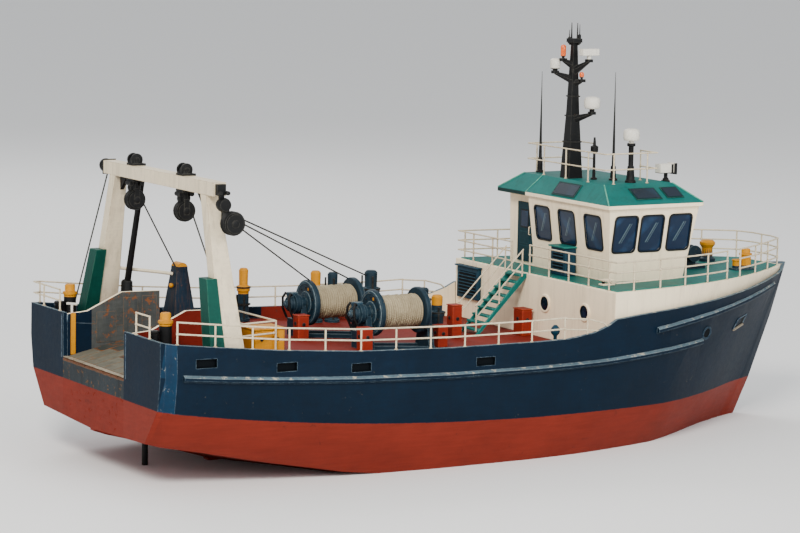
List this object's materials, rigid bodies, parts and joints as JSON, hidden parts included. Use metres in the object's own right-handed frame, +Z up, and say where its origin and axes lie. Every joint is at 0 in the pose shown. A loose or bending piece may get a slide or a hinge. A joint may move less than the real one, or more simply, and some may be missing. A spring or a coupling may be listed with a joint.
{
  "type": "stern trawler",
  "caption": "Steel stern trawler with a blue hull, cream forecastle and wheelhouse, green roof, stern ramp, gantry, net drums and a black mast.",
  "frame": {"origin": "amidships on the centreline, at the waterline", "axes": "+X towards the bow, +Y to port, +Z up"},
  "size_m": [24.4, 9.7376, 14.7],
  "materials": {
    "hull_blue": "deep blue hull paint, semi-gloss",
    "cream_paint": "cream enamel",
    "deck_green": "green deck paint",
    "machine_blue": "dark blue machinery paint",
    "ramp_steel": "worn, rusty steel plate",
    "black_steel": "black paint with rust",
    "rope": "wound netting and rope",
    "signal_red": "orange-red paint",
    "yellow_paint": "yellow paint",
    "radome_white": "white moulded shell",
    "bronze": "cast bronze",
    "antifouling": "matt red-brown bottom paint"
  },
  "bodies": {
    "vessel": {"bow_bitts_port": "yellow_paint", "bow_bitts_starboard": "yellow_paint", "cable_reel": "machine_blue", "control_box_inner": "signal_red", "control_box_outer": "signal_red", "deck_locker": "machine_blue", "deck_ventilator": "machine_blue", "drum_stand_inner": "machine_blue", "drum_stand_outer": "machine_blue", "engine_room_vent": "machine_blue", "fairlead_post_aft": "yellow_paint", "fairlead_post_fore": "machine_blue", "fairlead_tower": "machine_blue", "fish_hatch": "yellow_paint", "forecastle": "cream_paint", "forecastle_deck": "deck_green", "forecastle_rail_port": "cream_paint", "forecastle_rail_starboard": "cream_paint", "gantry": "cream_paint", "gantry_stay_port": "black_steel", "gantry_stay_starboard": "black_steel", "hose_box": "signal_red", "hull": "hull_blue", "hydraulic_unit": "machine_blue", "main_rail_port": "cream_paint", "main_rail_starboard": "cream_paint", "mast": "black_steel", "net_guide_post": "yellow_paint", "pump_box": "signal_red", "radome_low": "radome_white", "ramp_plating": "ramp_steel", "ramp_wall_port": "ramp_steel", "ramp_wall_starboard": "ramp_steel", "roof_rail": "cream_paint", "satellite_dome": "radome_white", "searchlight_foot": "black_steel", "stairs": "deck_green", "stern_bitts_port": "machine_blue", "stern_bitts_starboard": "machine_blue", "stern_rail_starboard": "cream_paint", "trawl_block_centre": "black_steel", "trawl_block_outer": "black_steel", "trawl_block_port": "black_steel", "valve_box": "signal_red", "wheelhouse_roof": "deck_green", "wheelhouse_walls": "cream_paint", "windlass": "machine_blue"},
    "net_drum_inner": {"net_drum_inner": "machine_blue", "net_rope_inner": "rope"},
    "net_drum_outer": {"net_drum_outer": "machine_blue", "net_rope_outer": "rope"},
    "propeller": {"propeller": "bronze"},
    "rudder": {"rudder": "antifouling"},
    "radar_scanner": {"radar_scanner": "radome_white"},
    "searchlight": {"searchlight": "radome_white"},
    "capstan": {"capstan": "machine_blue"},
    "wheelhouse_door": {"wheelhouse_door": "machine_blue"}
  },
  "joints": [
    {"name": "propeller_shaft", "type": "hinge", "parent": "vessel", "child": "propeller", "pos_m": [-9.1, 0, -1.02], "axis": [1, 0, 0], "continuous": true},
    {"name": "rudder_stock", "type": "hinge", "parent": "vessel", "child": "rudder", "pos_m": [-10.35, 0, -1.93], "axis": [0, 0, 1], "range_deg": [-35, 35]},
    {"name": "net_drum_inner_shaft", "type": "hinge", "parent": "vessel", "child": "net_drum_inner", "pos_m": [-4, 0.6, 4.32], "axis": [1, 0, 0], "continuous": true},
    {"name": "net_drum_outer_shaft", "type": "hinge", "parent": "vessel", "child": "net_drum_outer", "pos_m": [-3.27, -2, 4.32], "axis": [1, 0, 0], "continuous": true},
    {"name": "scanner_turntable", "type": "hinge", "parent": "vessel", "child": "radar_scanner", "pos_m": [4.435, -0.2975, 11.45], "axis": [0, 0, 1], "continuous": true},
    {"name": "searchlight_pan", "type": "hinge", "parent": "vessel", "child": "searchlight", "pos_m": [6.43, -1.7, 7.8], "axis": [0, 0, 1], "continuous": true},
    {"name": "capstan_spindle", "type": "hinge", "parent": "vessel", "child": "capstan", "pos_m": [9.7, 0.5, 4.88], "axis": [0, 0, 1], "continuous": true},
    {"name": "wheelhouse_door_hinge", "type": "hinge", "parent": "vessel", "child": "wheelhouse_door", "pos_m": [3.775, 2.47, 4.99], "axis": [0, 0, 1], "range_deg": [-100, 0]}
  ]
}
